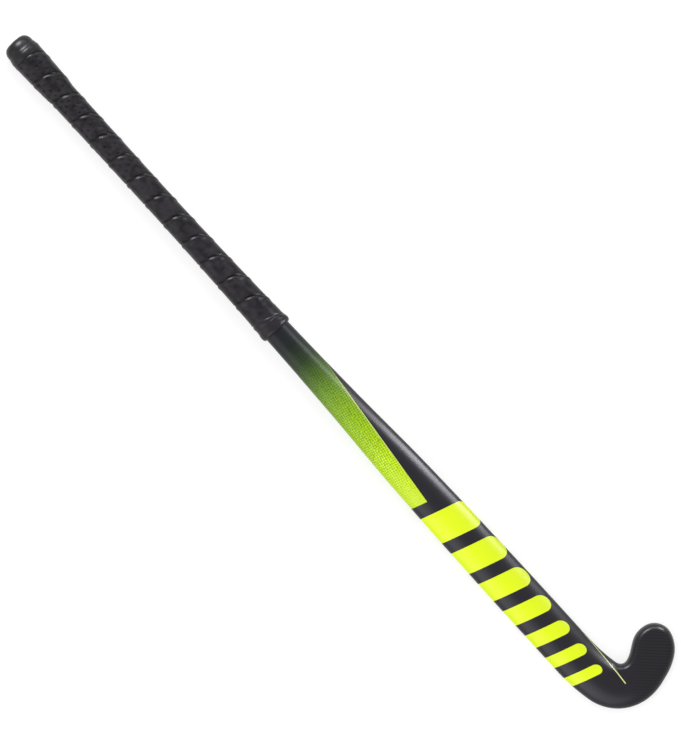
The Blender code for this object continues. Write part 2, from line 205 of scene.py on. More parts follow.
# Paint, in the straight stick's x and y. Each stop of the fade is an x and the colour there
FADE_STOPS = (
    (0.3970, (0.0020, 0.0022, 0.0030)),
    (0.4174, (0.0020, 0.0065, 0.0020)),
    (0.4377, (0.0150, 0.0340, 0.0030)),
    (0.4580, (0.0620, 0.1300, 0.0040)),
    (0.4783, (0.1400, 0.2720, 0.0070)),
    (0.4985, (0.2120, 0.3760, 0.0040)),
    (0.5188, (0.2700, 0.4700, 0.0020)),
    (0.5493, (0.3700, 0.5850, 0.0020)),
    (0.5696, (0.4600, 0.6900, 0.0030)),
    (0.6152, (0.5900, 0.7900, 0.0080)),
)
BAND_EDGE = ((0.468, 0.0135), (0.628, -0.00485))
BAND_END = 0.628
BAND_HAIRLINE = 0.0009
HAIRLINE_REACH = (0.475, 0.585)
HAIRLINE_FADE = 0.03
BARS_START = 0.642
BARS_END = 0.872
BAR_COUNT = 7
BAR_SHRINK = 0.84
BAR_GAP = 0.0140
BAR_LEAN = 0.30
BAR_TOPS = ((0.690, 0.0300), (0.872, 0.0125))
PINSTRIPE = ((0.818, 0.0296), (0.880, 0.0212), (0.899, 0.0197))
PINSTRIPE_WIDTH = 0.0011
PINSTRIPE_END_FADE = 0.0006
PINSTRIPE_SIDE_FADE = 0.0005
PRINT_EDGE = 0.00012
PAINT_BLACK = (0.0095, 0.0080, 0.0125)
BAR_YELLOW = (0.760, 0.930, 0.008)
HAIRLINE_GREEN = (0.560, 0.680, 0.180)
PINSTRIPE_YELLOW = (0.700, 0.780, 0.300)
PAINT_MIRRORING = 0.22
PAINT_ROUGHNESS = (0.32, 0.34)
PAINT_WEAR = 60.0

# Fine mesh printed over the band, whose cells are this wide
MESH_CELL = 0.0025
MESH_TURNS = (12.0, -78.0)
MESH_STRAY = 0.0040
MESH_STRAY_DETAIL = 3.0
MESH_PATCHES = 0.4
MESH_STRENGTH = (0.16, 0.60)
MESH_FADE = (0.560, 0.610)
MESH_FADED = 0.3
MESH_DARK = (0.56, 0.62, 0.40)
MESH_PALE = (1.38, 1.32, 4.0)

# Twill weave at the head, with painted sheen on the tows along the stick and painted shade on those across
# it
TOW_WIDTH = 0.0011
TOW_RELIEF = 0.00002
TWILL_REPEAT = 4.0
TOW_PAINTED_SHADE = (0.0040, 0.0032, 0.0052)
TOW_PAINTED_SHEEN = (0.0110, 0.0095, 0.0140)
WEAVE_FROM = 0.914
WEAVE_RUN = 0.028
WEAVE_SLANT = 0.9

# Grip's colours and surface, and the painted shade along its seams and in its pits
GRIP_SHADES = ((0.0125, 0.0108, 0.0140), (0.0290, 0.0262, 0.0310))
GRIP_MIRRORING = 0.10
GRIP_ROUGHNESS = (0.26, 0.34)
GRIP_CLOUDS = 120.0
GRIP_CLOUD_EDGES = (0.30, 0.70)
GRIP_CREASES = 140.0
CREASE_RELIEF = 0.0004
GRIP_GRAIN = 2600.0
GRAIN_RELIEF = 0.00003
# Near black painted into the seams' grooves and the pits, where shade falls
PAINTED_SHADE_BLACK = (0.0015, 0.0015, 0.002)
SEAM_SHADE = 0.0032
SEAM_DARK = 0.00064
SEAM_SHADE_AFTER = 0.0016

# Foam, whose shade comes from its cells and from clouds
FOAM_ROUGHNESS = 0.85
FOAM_CELL_SHARE = 0.5
FOAM_CELL_DEPTH = 0.3
FOAM_CELL_STRENGTH = 0.6
FOAM_CLOUD_SHARE = 0.6
FOAM_CLOUDS = 70.0


def ease(share):
    """Smooth step from 0 to 1, level at both ends."""
    share = np.clip(share, 0.0, 1.0)
    return share * share * (3.0 - 2.0 * share)


def mix(low, high, share):
    return low + (high - low) * share


def between(x, stops):
    """Value at x on straight runs between stops."""
    return np.interp(x, [stop[0] for stop in stops], [stop[1] for stop in stops])


# Body sections


def body_width(x):
    """Width across the face: a slight waist in the handle, then a flare into the blade."""
    if x < WAIST_AT:
        return mix(HANDLE_WIDTH, WAIST_WIDTH, ease(x / WAIST_AT))
    if x < GRIP_END:
        return mix(WAIST_WIDTH, NECK_WIDTH, ((x - WAIST_AT) / (GRIP_END - WAIST_AT)) ** 2)
    share = (x - GRIP_END) / (BLADE_START - GRIP_END)
    steps = np.linspace(-GROWTH_BLEND, GROWTH_BLEND, 2 * GROWTH_BLEND_STEPS + 1)
    nearby = [between(share + step, WIDTH_GROWTH) for step in steps]
    return mix(NECK_WIDTH, BLADE_WIDTH, sum(nearby) / len(nearby))


def shaft_section(x):
    """Thickness, height of the widest line, how far in the face's edges round, and how far in the
    back's do on the heel side and the toe side."""
    half = body_width(x) / 2.0
    share = ease((x - GRIP_END) / (BLADE_START - GRIP_END))
    thickness = mix(HANDLE_THICKNESS, BLADE_THICKNESS, share)
    edge = mix(HANDLE_THICKNESS / 2.0, EDGE_HEIGHT, share)
    return thickness, edge, mix(half, FACE_EDGE_ROUND, share), (half, half)


def hook_section(station, inset):
    """The same sizes at a station of the hook, counted from its start. Outside, the back is a slow
    dome on the heel side, and tighter round the throat and the tip."""
    half = BLADE_WIDTH / 2.0
    share = ease(station / (HOOK_BLEND_STATIONS * FINER))
    thickness = mix(BLADE_THICKNESS, HEAD_THICKNESS, share)
    rounds = [mix(half, HEAD_BACK_ROUND, share)] * 2
    if not inset:
        stretches = (HEEL_TIGHTENS, THROAT_TIGHTENS)
        shares = [(station / FINER - first) / (last - first) for first, last in stretches]
        rounds = [mix(half, TIP_BACK_ROUND, ease(tight)) for tight in shares]
    return thickness, EDGE_HEIGHT, FACE_EDGE_ROUND, rounds


def rise(depth, reach):
    """Quarter ellipse: 0 at the edge and 1 from reach inwards."""
    share = 1.0 - np.minimum(depth / reach, 1.0)
    return np.sqrt(np.maximum(1.0 - share * share, 0.0))


def bow_lift(x):
    """Height of the flat face over the table."""
    flush_from = STICK_LENGTH - FLUSH_LENGTH
    rim_drop = CAP_RIM_LIFT * HANDLE_THICKNESS / body_width(CAP_RIM_AT)
    curved = BOW_PEAK_AT - GRIP_END
    slope = (BOW_HEIGHT - rim_drop) / (curved / 2.0 + GRIP_END - CAP_RIM_AT)
    share = np.clip((x - BOW_PEAK_AT) / (flush_from - BOW_PEAK_AT), 0.0, 1.0)
    headward = BOW_HEIGHT * (1.0 + np.cos(math.pi * share)) / 2.0
    bent = BOW_HEIGHT - slope * (BOW_PEAK_AT - x) ** 2 / (2.0 * curved)
    straight = BOW_HEIGHT - slope * (curved / 2.0 + GRIP_END - x)
    return np.where(x > BOW_PEAK_AT, headward, np.where(x > GRIP_END, bent, straight))


# The hook's outline


def trace(start, moves, inset=0.0):
    """Points along moves, which head along +X at first. A move has a radius, the degrees that it
    turns, to the left if positive, and its steps. A straight has a length and turns by 0."""
    x, y = start
    heading = 0.0
    points = [(x, y)]
    for size, degrees, steps in moves:
        steps *= FINER
        for _ in range(steps):
            if degrees:
                radius = math.copysign(size, degrees) - inset
                after = heading + math.radians(degrees) / steps
                x += radius * (math.sin(after) - math.sin(heading))
                y += radius * (math.cos(heading) - math.cos(after))
                heading = after
            else:
                x += size / steps * math.cos(heading)
                y += size / steps * math.sin(heading)
            points.append((x, y))
    return points


def with_straight(before, after, steps, level):
    """The moves before and after, joined by the straight that brings their end to y = level."""
    end = trace((0.0, -BLADE_WIDTH / 2.0), before + after)[-1]
    heading = math.radians(sum(move[1] for move in before))
    return before + [((level - end[1]) / math.sin(heading), 0.0, steps)] + after


def hook_moves():
    """Outline from the heel round the base, up the toe, over its tip and down into the throat."""
    base = [(HEEL_RADIUS, 12.0, 3), (BASE_RADIUS, 78.0, 8), (TOE_RADIUS, 17.0, 2)]
    toe = [(TOE_RADIUS, 20.5, 2), (TOE_CORNER_RADIUS, 38.5, 3), (TIP_RADIUS, 14.0, 1)]
    tip = [(TIP_RADIUS, 30.0, 3), (TIP_RADIUS, 44.0, 4), (TIP_INNER_RADIUS, 51.0, 4)]
    throat = [
        (THROAT_ENTRY_RADIUS, -17.7, 2),
        (THROAT_RADIUS, -87.0, 7),
        (THROAT_EXIT_RADIUS, -9.2, 1),
        (THROAT_BLEND_RADIUS, -11.1, 3),
    ]
    outer = with_straight(base, toe, 1, TOE_REACH)
    return with_straight(outer + tip, throat, 2, BLADE_WIDTH / 2.0)


def hook_rails(inset):
    """Pairs of points on the heel side and the toe side of the hook, which meet at the tip."""
    moves = hook_moves()
    advance = trace((0.0, 0.0), moves[:2])[-1][0]
    points = trace((STICK_LENGTH - advance, inset - BLADE_WIDTH / 2.0), moves, inset)
    middle = len(points) // 2
    return list(zip(points[: middle + 1], reversed(points[middle:])))


def depths_inside(spots, path):
    """Least distance from each spot to the straight runs of path."""
    path = np.array(path)
    starts = path[:-1]
    runs = path[1:] - starts
    lengths = np.maximum((runs**2).sum(axis=1), SHORTEST_RUN**2)
    away = spots[:, None, :] - starts
    shares = np.clip((away * runs).sum(axis=2) / lengths, 0.0, 1.0)
    return np.sqrt(((away - shares[:, :, None] * runs) ** 2).sum(axis=2)).min(axis=1)


# Meshes


def placed(points):
    """Points of the straight stick, bent with the bow and moved to the stick's place."""
    points = np.array(points, dtype=float)
    points[:, 2] += bow_lift(points[:, 0])
    return points + np.array(SHIFT)


def loft(counts, ring_loop=False):
    """Faces of a skin over a chain of rings with these counts of points. An end ring of one point
    closes to it, a wider one gets a flat end, and with ring_loop the last ring joins the first."""
    starts = np.concatenate([[0], np.cumsum(counts)]).astype(int).tolist()
    numbers = [range(a, b) for a, b in zip(starts, starts[1:])]
    pairs = list(zip(numbers, numbers[1:]))
    if ring_loop:
        pairs.append((numbers[-1], numbers[0]))
    faces = []
    for a, b in pairs:
        for k in range(max(len(a), len(b))):
            corners = [a[k % len(a)], a[(k + 1) % len(a)], b[(k + 1) % len(b)], b[k % len(b)]]
            faces.append(list(dict.fromkeys(corners)))
    if not ring_loop:
        faces += [list(ends) for ends in (numbers[0], numbers[-1]) if len(ends) > 1]
    return faces


def new_piece(name, rings, ring_loop=False):
    """Object over a chain of rings laid out on the straight stick."""
    mesh = bpy.data.meshes.new(name)
    points = np.concatenate([np.array(ring, dtype=float).reshape(-1, 3) for ring in rings])
    mesh.from_pydata(placed(points).tolist(), [], loft([len(ring) for ring in rings], ring_loop))
    mesh.shade_smooth()
    mesh.set_sharp_from_angle(angle=SHARP_EDGE)
    piece = bpy.data.objects.new(name, mesh)
    bpy.context.scene.collection.objects.link(piece)
    return piece


def outwards(piece, merge=0.0):
    """Turns a closed mesh's faces outwards, after merging points closer than merge."""
    shape = bmesh.new()
    shape.from_mesh(piece.data)
    if merge:
        bmesh.ops.remove_doubles(shape, verts=shape.verts, dist=merge)
    bmesh.ops.recalc_face_normals(shape, faces=shape.faces)
    shape.to_mesh(piece.data)
    shape.free()


def dress(piece, finish, slot, *nodes):
    """Gives a piece its finish, and puts it on the stick in place of the nodes that it stands for."""
    piece.data.materials.clear()
    piece.data.materials.append(finish)
    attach(piece, "root")
    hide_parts(*nodes)


# Painted body


def skin_ring(heel, toe, section, inset, edges):
    """Ring over the back from the heel side to the toe side, and back along the face."""
    thickness, edge, face_round, back_rounds = section
    share = (1.0 - np.cos(np.linspace(0.0, math.pi, SKIN_STEPS + 1))) / 2.0
    spots = np.outer(1.0 - share, heel) + np.outer(share, toe)
    depths = np.array([depths_inside(spots, path) for path in edges])
    depths[:, [0, -1]] *= [[0.0, 1.0], [1.0, 0.0]]
    low = edge - (edge - inset) * rise(depths.min(axis=0), face_round - inset)
    rises = [rise(depth, back_round - inset) for depth, back_round in zip(depths, back_rounds)]
    high = edge + (thickness - edge - inset) * np.min(rises, axis=0)
    back = np.column_stack([spots, high])
    face = np.column_stack([spots, low])
    return np.concatenate([back, face[-2:0:-1]])


def shaft_ring(x, inset):
    half = body_width(x) / 2.0 - inset
    edges = [[(x - BLADE_WIDTH, side * half), (x + BLADE_WIDTH, side * half)] for side in (-1.0, 1.0)]
    return skin_ring((x, -half), (x, half), shaft_section(x), inset, edges)


def hook_rings(inset):
    """Rings from the hook's start to the tip, where they close in one point."""
    rails = hook_rails(inset)
    (heel_x, heel_y), (toe_x, toe_y) = rails[0]
    edges = [
        [(heel_x - BLADE_WIDTH, heel_y), *(pair[0] for pair in rails)],
        [(toe_x - BLADE_WIDTH, toe_y), *(pair[1] for pair in rails)],
    ]
    rings = []
    for station, (heel, toe) in enumerate(rails[:-1]):
        rings.append(skin_ring(heel, toe, hook_section(station, inset), inset, edges))
    tip = rails[-1][0]
    return rings + [np.array([(*tip, EDGE_HEIGHT)])]


def skin_map(ring):
    """Flat coordinates of a ring's points, measured round the skin from the middle of the back for
    the first half of the points, and from the middle of the face for the rest."""
    if len(ring) == 1:
        return [ring[:, :2]] * 2
    heel, toe = ring[0, :2], ring[SKIN_STEPS, :2]
    across = (toe - heel) / np.linalg.norm(toe - heel)
    maps = []
    for side in (ring[: SKIN_STEPS + 1], np.concatenate([ring[:1], ring[:SKIN_STEPS - 1:-1]])):
        steps = np.linalg.norm(np.diff(side, axis=0), axis=1)
        girth = np.concatenate([[0.0], np.cumsum(steps)])
        maps.append((heel + toe) / 2.0 + np.outer(girth - girth[SKIN_STEPS // 2], across))
    over, under = maps
    return [over, np.concatenate([under[:1], np.zeros((SKIN_STEPS - 1, 2)), under[:0:-1]])]


def map_skin(piece, rings):
    """UV map of the body in metres, unrolled round its edges."""
    maps = [skin_map(ring) for ring in rings]
    starts = np.concatenate([[0], np.cumsum([len(ring) for ring in rings])])
    ring_of = np.repeat(np.arange(len(rings)), [len(ring) for ring in rings])
    layer = piece.data.uv_layers.new(name="skin")
    for polygon in piece.data.polygons:
        corners = [(int(ring_of[v]), int(v - starts[ring_of[v]])) for v in polygon.vertices]
        face_side = any(k > SKIN_STEPS for _, k in corners)
        for loop, (ring, k) in zip(polygon.loop_indices, corners):
            spots = maps[ring][1 if face_side else 0]
            layer.data[loop].uv = spots[k if len(spots) > k else 0]


def painted_body():
    """Laminate of handle, shaft and hook in one, open at the butt."""
    hook_start = hook_rails(0.0)[0][0][0]
    first = CAP_END_WALL + CLEARANCE
    places = np.linspace(first, hook_start, round((hook_start - first) / SHAFT_STATION))[:-1]
    outer = [shaft_ring(x, 0.0) for x in places] + hook_rings(0.0)
    inner = [shaft_ring(x, WALL) for x in places] + hook_rings(WALL)
    rings = outer[::-1] + inner
    body = new_piece("painted_stick", rings)
    map_skin(body, rings)
    outwards(body)
    return body


# Turned pieces round the handle


def round_handle(x, angle, lift):
    """Points round the handle at angles from +Y towards +Z, lift above its surface."""
    width = body_width(x)
    reach = 1.0 + 2.0 * lift / width
    half = HANDLE_THICKNESS / 2.0
    across = reach * width / 2.0 * np.cos(angle)
    return np.stack([x + 0.0 * across, across, half + reach * half * np.sin(angle)], axis=-1)


def around():
    return 2.0 * math.pi * np.arange(ROUND_STEPS) / ROUND_STEPS


def collar(name, profile, ring_loop):
    """Turned piece round the handle, from the x and lift of each point of its profile."""
    rings = []
    for x, lift in profile:
        if lift <= -body_width(x) / 2.0:
            rings.append(np.array([(x, 0.0, HANDLE_THICKNESS / 2.0)]))
        else:
            rings.append(round_handle(x, around(), lift))
    piece = new_piece(name, rings, ring_loop)
    outwards(piece)
    return piece


def bulge(start, crest, steps):
    """Quarter ellipse from one point of a profile up to another, which it reaches level."""
    turns = [math.pi / 2.0 * k / steps for k in range(steps + 1)]
    return [
        (mix(start[0], crest[0], 1.0 - math.cos(turn)), mix(start[1], crest[1], math.sin(turn)))
        for turn in turns
    ]


def butt_cap():
    """Domed cap. Its skirt and its spigot take the laminate's end between them."""
    axis = -body_width(0.0) / 2.0
    spigot = -WALL - CLEARANCE
    spigot_end = CAP_END_WALL + CAP_SPIGOT_LENGTH
    face = (0.0, axis + CAP_FACE_WIDTH / 2.0)
    crest = (CAP_DOME_HEIGHT, CAP_DOME_LIFT)
    rim = (CAP_RIM_AT, CAP_RIM_LIFT)
    foot = (CAP_LENGTH, CAP_FOOT_LIFT)
    side = []
    for x in np.linspace(crest[0], rim[0], 2 * CAP_STEPS)[1:]:
        share = (x - crest[0]) / (rim[0] - crest[0])
        near = min(abs(x - place) for place in CAP_GROOVES)
        groove = CAP_GROOVE_DEPTH * (1.0 - float(ease(near / CAP_GROOVE_REACH)))
        side.append((x, mix(crest[1], rim[1], float(ease(share))) - groove))
    profile = [
        (0.0, axis),
        (0.0, mix(axis, face[1], CAP_FACE_RING)),
        *bulge(face, crest, CAP_STEPS),
        *side,
        *bulge(foot, rim, CAP_STEPS)[-2::-1],
        (CAP_LENGTH, CLEARANCE),
        (CAP_END_WALL, CLEARANCE),
        (CAP_END_WALL, spigot),
        (spigot_end, spigot),
        (spigot_end, axis),
    ]
    return collar("domed_butt_cap", profile, ring_loop=False)


def flare_lift(x):
    """Top of the flare sleeve over the handle, and past its end what the tape bridges there."""
    stops = (
        (GRIP_START, FLARE_TOP),
        (FLARE_SHOULDER_AT, FLARE_SHOULDER),
        (FLARE_END, FLARE_EDGE + CLEARANCE),
        (FLARE_END + TAPE_SETTLE, 0.0),
    )
    return between(x, stops)


def flare_sleeve():
    """Foam under the grip's first turns, which thins out over its last stretch."""
    slope = np.linspace(GRIP_START, FLARE_SHOULDER_AT, FLARE_STATIONS)
    edge = np.linspace(FLARE_SHOULDER_AT, FLARE_END, FLARE_EDGE_STATIONS)
    places = [*slope, *edge[1:]]
    under = [(x, CLEARANCE) for x in reversed(places)]
    top = [(x, flare_lift(x)) for x in places]
    return collar("flared_foam_sleeve", top + under, ring_loop=True)


# Grip


def squeeze(x):
    """How thick the grip is at x, as a share: the finishing tape presses its end together."""
    return mix(1.0, GRIP_SQUEEZE, ease((x - FINISH_START) / SQUEEZE_RUN))


def tape_under(place):
    """Lift of the tape's underside over the handle's: it lies on the turn before, then comes down."""
    below = mix(TAPE_SEAM_THICKNESS, TAPE_EDGE_THICKNESS, ease(place / TAPE_UNDERCUT))
    return mix(below + TAPE_SELF_GAP, 0.0, ease((place - TAPE_LAP) / TAPE_RAMP))


def tape_top(place):
    """Lift of the tape's top, rounded at the edge that shows and pressed down towards the next one."""
    rounded = np.sin(math.pi / 2.0 * np.clip(place / TAPE_EDGE_ROUND, 0.0, 1.0))
    edge = mix(TAPE_SEAM_THICKNESS, TAPE_LAP_LIFT, rounded)
    full = mix(edge, TAPE_THICKNESS, ease((place - TAPE_LAP) / TAPE_RAMP))
    seam = mix(full, TAPE_SEAM_THICKNESS, ease((place - TAPE_PITCH + TAPE_BEVEL) / TAPE_BEVEL))
    return mix(seam, TAPE_EDGE_THICKNESS, ease((place - TAPE_PITCH) / TAPE_UNDERCUT))


def tape_places(first, last):
    """Places across the strip from one cut to the other, under it and then back over it."""
    under = np.linspace(0.0, TAPE_LAP + TAPE_RAMP, TAPE_UNDER_STEPS)
    under = np.concatenate([under, [TAPE_WIDTH]])
    turns = np.linspace(0.0, math.pi / 2.0, TAPE_EDGE_STEPS + 1)[1:]
    edge = TAPE_EDGE_ROUND * (1.0 - np.cos(turns))
    lap_end = TAPE_PITCH + 2.0 * TAPE_EDGE_ROUND
    over = np.linspace(TAPE_EDGE_ROUND, lap_end, TAPE_TOP_STEPS - len(edge))[1:]
    over = np.concatenate([edge, over, [TAPE_WIDTH]])
    return np.clip(under, first, last), np.clip(over[::-1], first, last)


def seam_place(turns, angle):
    """x of the strip's edge after a number of turns."""
    return TAPE_SEAM_AT + TAPE_PITCH * turns + TAPE_TILT * (1.0 - np.sin(angle))


def wound_grip():
    """The wound strip, with how far along and across it each point lies, and whether on top."""
    first_turn = (GRIP_START + TAPE_END_WIDTH - TAPE_WIDTH - TAPE_SEAM_AT - 2.0 * TAPE_TILT) / TAPE_PITCH
    last_turn = (GRIP_END - TAPE_END_WIDTH - TAPE_SEAM_AT) / TAPE_PITCH
    rings = []
    marks = []
    for turns in np.linspace(first_turn, last_turn, round((last_turn - first_turn) * TAPE_TURN_STEPS)):
        angle = math.pi / 2.0 - 2.0 * math.pi * turns
        edge_x = seam_place(turns, angle)
        under, over = tape_places(max(0.0, GRIP_START - edge_x), min(TAPE_WIDTH, GRIP_END - edge_x))
        ring = []
        for places, on_top in ((under, 0.0), (over, 1.0)):
            for place in places:
                x = edge_x + place
                lift = (tape_top(place) if on_top else tape_under(place)) * squeeze(x)
                ring.append(round_handle(x, angle, flare_lift(x) + CLEARANCE + lift))
                marks.append((turns * TAPE_ROUND_LENGTH, place, on_top, x))
        rings.append(np.array(ring))
    grip = new_piece("wound_grip", rings)
    for k, name in enumerate(("along", "across", "on_top", "from_butt")):
        layer = grip.data.attributes.new(name, "FLOAT", "POINT")
        layer.data.foreach_set("value", np.array([mark[k] for mark in marks], dtype=np.float32))
    outwards(grip, merge=MERGE_DISTANCE)
    return grip


# Node trees


def rgba(colour):
    return (*colour, 1.0)


class Wiring:
    """Short calls that add nodes to a tree and wire them up."""

    def __init__(self, tree):
        self.tree = tree

    def feed(self, socket, value):
        if isinstance(value, bpy.types.NodeSocket):
            self.tree.links.new(value, socket)
        elif value is not None:
            socket.default_value = value

    def add(self, kind, feeds=None, **settings):
        """A node with its settings, and its inputs fed by name or number."""
        node = self.tree.nodes.new(kind)
        for name, value in settings.items():
            setattr(node, name, value)
        for name, value in (feeds or {}).items():
            self.feed(node.inputs[name], value)
        return node

    def math(self, operation, *values, clamp=False):
        feeds = dict(enumerate(values))
        return self.add("ShaderNodeMath", feeds, operation=operation, use_clamp=clamp).outputs[0]

    def parts(self, vector):
        """x, y and z of a vector."""
        return self.add("ShaderNodeSeparateXYZ", {0: vector}).outputs

    def blend(self, share, low, high):
        """Number that goes from low to high as share goes from 0 to 1."""
        return self.math("MULTIPLY_ADD", share, high - low, low)

    def ramp(self, value, start, end):
        """0 before start and 1 after end, smooth between."""
        feeds = {"Value": value, "From Min": start, "From Max": end}
        node = self.add("ShaderNodeMapRange", feeds, interpolation_type="SMOOTHSTEP")
        return node.outputs["Result"]

    def inside(self, value, low, high, soft):
        """1 where value lies between low and high, with edges soft wide."""
        rising = self.ramp(value, low - soft, low + soft)
        falling = self.ramp(value, high + soft, high - soft)
        return self.math("MULTIPLY", rising, falling)

    def both(self, *masks):
        result = masks[0]
        for mask in masks[1:]:
            result = self.math("MULTIPLY", result, mask)
        return result

    def either(self, *masks):
        result = masks[0]
        for mask in masks[1:]:
            result = self.math("MAXIMUM", result, mask)
        return result

    def noise(self, place, scale, detail=2.0):
        """Clouds from 0 to 1, about scale of them a metre."""
        feeds = {"Vector": place, "Scale": scale, "Detail": detail}
        return self.add("ShaderNodeTexNoise", feeds).outputs["Fac"]

    def shade(self, share, low, high):
        """Colour that goes from low to high. Both are a colour's three numbers or a socket."""
        low, high = (rgba(colour) if isinstance(colour, tuple) else colour for colour in (low, high))
        return self.add("ShaderNodeMix", {"Factor": share, 6: low, 7: high}, data_type="RGBA").outputs[2]

    def bump(self, height, distance, strength=0.5, before=None):
        """Normal over a relief distance high, on top of the normal before it, if there is one."""
        feeds = {"Height": height, "Distance": distance, "Strength": strength, "Normal": before}
        return self.add("ShaderNodeBump", feeds).outputs["Normal"]


# Pits in the grip, pressed by nodes


def nearest_pit(wire, given, along, across):
    """Distance to the nearest pit's centre in a staggered lattice, and that pit's own chance."""

    def squared(place, centre, chance, spacing):
        """Square of the distance to a centre, which strays from the lattice."""
        off = wire.math("MULTIPLY", wire.math("SUBTRACT", place, centre), given[spacing])
        stray = wire.math("MULTIPLY", wire.math("SUBTRACT", chance, 0.5), given["Stray"])
        return wire.math("POWER", wire.math("ABSOLUTE", wire.math("SUBTRACT", off, stray)), 2.0)

    column = wire.math("DIVIDE", along, given["Spacing Along"])
    row = wire.math("DIVIDE", across, given["Spacing Across"])
    found = []
    for stagger in (0.0, 0.5):
        shifted = [wire.math("ADD", place, stagger) for place in (column, row)]
        centres = [wire.math("ROUND", place) for place in shifted]
        cell = wire.add("ShaderNodeCombineXYZ", {"X": centres[0], "Y": centres[1], "Z": stagger}).outputs[0]
        seeded = wire.add("ShaderNodeVectorMath", {0: cell, 1: given["Seed"]}, operation="ADD").outputs[0]
        chances = wire.add("ShaderNodeTexWhiteNoise", {"Vector": seeded}).outputs
        lots = zip(shifted, centres, wire.parts(chances["Color"]), ("Spacing Along", "Spacing Across"))
        away = wire.math("SQRT", wire.math("ADD", *[squared(*lot) for lot in lots]))
        found.append((away, chances["Value"]))
    (even, even_chance), (odd, odd_chance) = found
    odd_nearer = wire.math("LESS_THAN", odd, even)
    chance = wire.add("ShaderNodeMix", {"Factor": odd_nearer, 2: even_chance, 3: odd_chance}).outputs[0]
    return wire.math("MINIMUM", even, odd), chance


def pit_tree():
    """Presses a staggered lattice of round pits into a surface that has along and across marks."""
    tree = bpy.data.node_groups.new("pressed_pits", "GeometryNodeTree")
    face = tree.interface
    face.new_socket("Geometry", in_out="INPUT", socket_type="NodeSocketGeometry")
    for name in PIT_SIZES:
        face.new_socket(name, in_out="INPUT", socket_type="NodeSocketFloat")
    face.new_socket("Seed", in_out="INPUT", socket_type="NodeSocketInt")
    face.new_socket("Finish", in_out="INPUT", socket_type="NodeSocketMaterial")
    face.new_socket("Geometry", in_out="OUTPUT", socket_type="NodeSocketGeometry")
    wire = Wiring(tree)
    given = wire.add("NodeGroupInput").outputs

    def mark(name):
        return wire.add("GeometryNodeInputNamedAttribute", {"Name": name}, data_type="FLOAT").outputs[0]

    distance, chance = nearest_pit(wire, given, mark("along"), mark("across"))
    radius = wire.math("MULTIPLY", given["Diameter"], 0.5)
    shape = wire.ramp(distance, radius, wire.math("MULTIPLY", radius, PIT_FLOOR))
    faded = wire.ramp(mark("from_butt"), given["Fade End"], given["Fade Start"])
    strength = wire.blend(chance, PIT_FAINTEST, 1.0)
    clear_of_edge = wire.both(
        wire.ramp(mark("across"), 0.5 * TAPE_EDGE_ROUND, TAPE_EDGE_ROUND),
        wire.ramp(mark("across"), TAPE_PITCH - 0.5 * TAPE_BEVEL, TAPE_PITCH - TAPE_BEVEL),
    )
    pit = wire.both(shape, faded, strength, mark("on_top"), clear_of_edge)
    # The pit's share is kept as 'pit'; the grip's finish also paints shade with it
    stored = wire.add(
        "GeometryNodeStoreNamedAttribute",
        {"Geometry": given["Geometry"], "Name": "pit", "Value": pit},
        data_type="FLOAT",
        domain="POINT",
    )
    sunk = wire.math("MULTIPLY", wire.math("MULTIPLY", pit, given["Depth"]), -1.0)
    normal = wire.add("GeometryNodeInputNormal").outputs[0]
    offset = wire.add("ShaderNodeVectorMath", {0: normal, "Scale": sunk}, operation="SCALE").outputs[0]
    pressed = wire.add("GeometryNodeSetPosition", {"Geometry": stored.outputs[0], "Offset": offset})
    solid = wire.add("GeometryNodeRealizeInstances", {"Geometry": pressed.outputs[0]})
    feeds = {"Geometry": solid.outputs[0], "Material": given["Finish"]}
    finished = wire.add("GeometryNodeSetMaterial", feeds)
    wire.add("NodeGroupOutput", {"Geometry": finished.outputs[0]})
    return tree


def press_pits(grip, finish):
    """Runs the pits' tree on the grip and keeps the result as its plain mesh."""
    tree = pit_tree()
    modifier = grip.modifiers.new("pits", "NODES")
    modifier.node_group = tree
    values = {**PIT_SIZES, "Seed": PIT_SEED, "Finish": finish}
    for item in tree.interface.items_tree:
        if item.in_out == "INPUT" and item.name in values:
            modifier[item.identifier] = values[item.name]
    grip.update_tag()
    evaluated = grip.evaluated_get(bpy.context.evaluated_depsgraph_get())
    pressed = bpy.data.meshes.new_from_object(evaluated)
    grip.modifiers.remove(modifier)
    grip.data = pressed


# Finishing tape


def grip_surface(x, angle):
    """Lift of the grip's top over the handle at x, round all the angles."""
    place = np.mod(x - seam_place((math.pi / 2.0 - angle) / (2.0 * math.pi), angle), TAPE_PITCH)
    return CLEARANCE + tape_top(place) * squeeze(x)


def finishing_tape():
    """Tape over the grip's end. It follows the grip, and its own edge lies as a low slanted step."""
    inside = GRIP_END + CLEARANCE
    end = inside + FINISH_LIP_LENGTH
    crest = inside - FINISH_LIP_LENGTH
    angle = around()
    step_at = FINISH_STEP_AT + TAPE_TILT * (1.0 - np.sin(angle))
    under = []
    over = []
    for x in np.linspace(FINISH_START, crest, FINISH_STATIONS):
        base = grip_surface(x, angle) + FINISH_FIT
        film = mix(FINISH_FILM, FINISH_THICKNESS, ease((x - FINISH_START) / SQUEEZE_RUN))
        step = FINISH_TURN_STEP * ease((x - step_at) / FINISH_STEP_RUN)
        lip = FINISH_LIP_RISE * ease(1.0 - (crest - x) / FINISH_LIP_RUN)
        under.append((x, base))
        over.append((x, base + film + step + lip))
    under.append((inside, under[-1][1]))
    lip = []
    for turn in np.linspace(0.0, math.pi / 2.0, FINISH_LIP_STEPS)[1:]:
        lip.append((mix(crest, end, math.sin(turn)), mix(FINISH_FIT, over[-1][1], math.cos(turn))))
    profile = over + lip + [(end, 0.5 * FINISH_FIT), (inside, 0.5 * FINISH_FIT)] + under[::-1]
    rings = [round_handle(x, angle, lift) for x, lift in profile]
    tape = new_piece("finishing_tape_turns", rings, ring_loop=True)
    outwards(tape)
    return tape


# Finishes


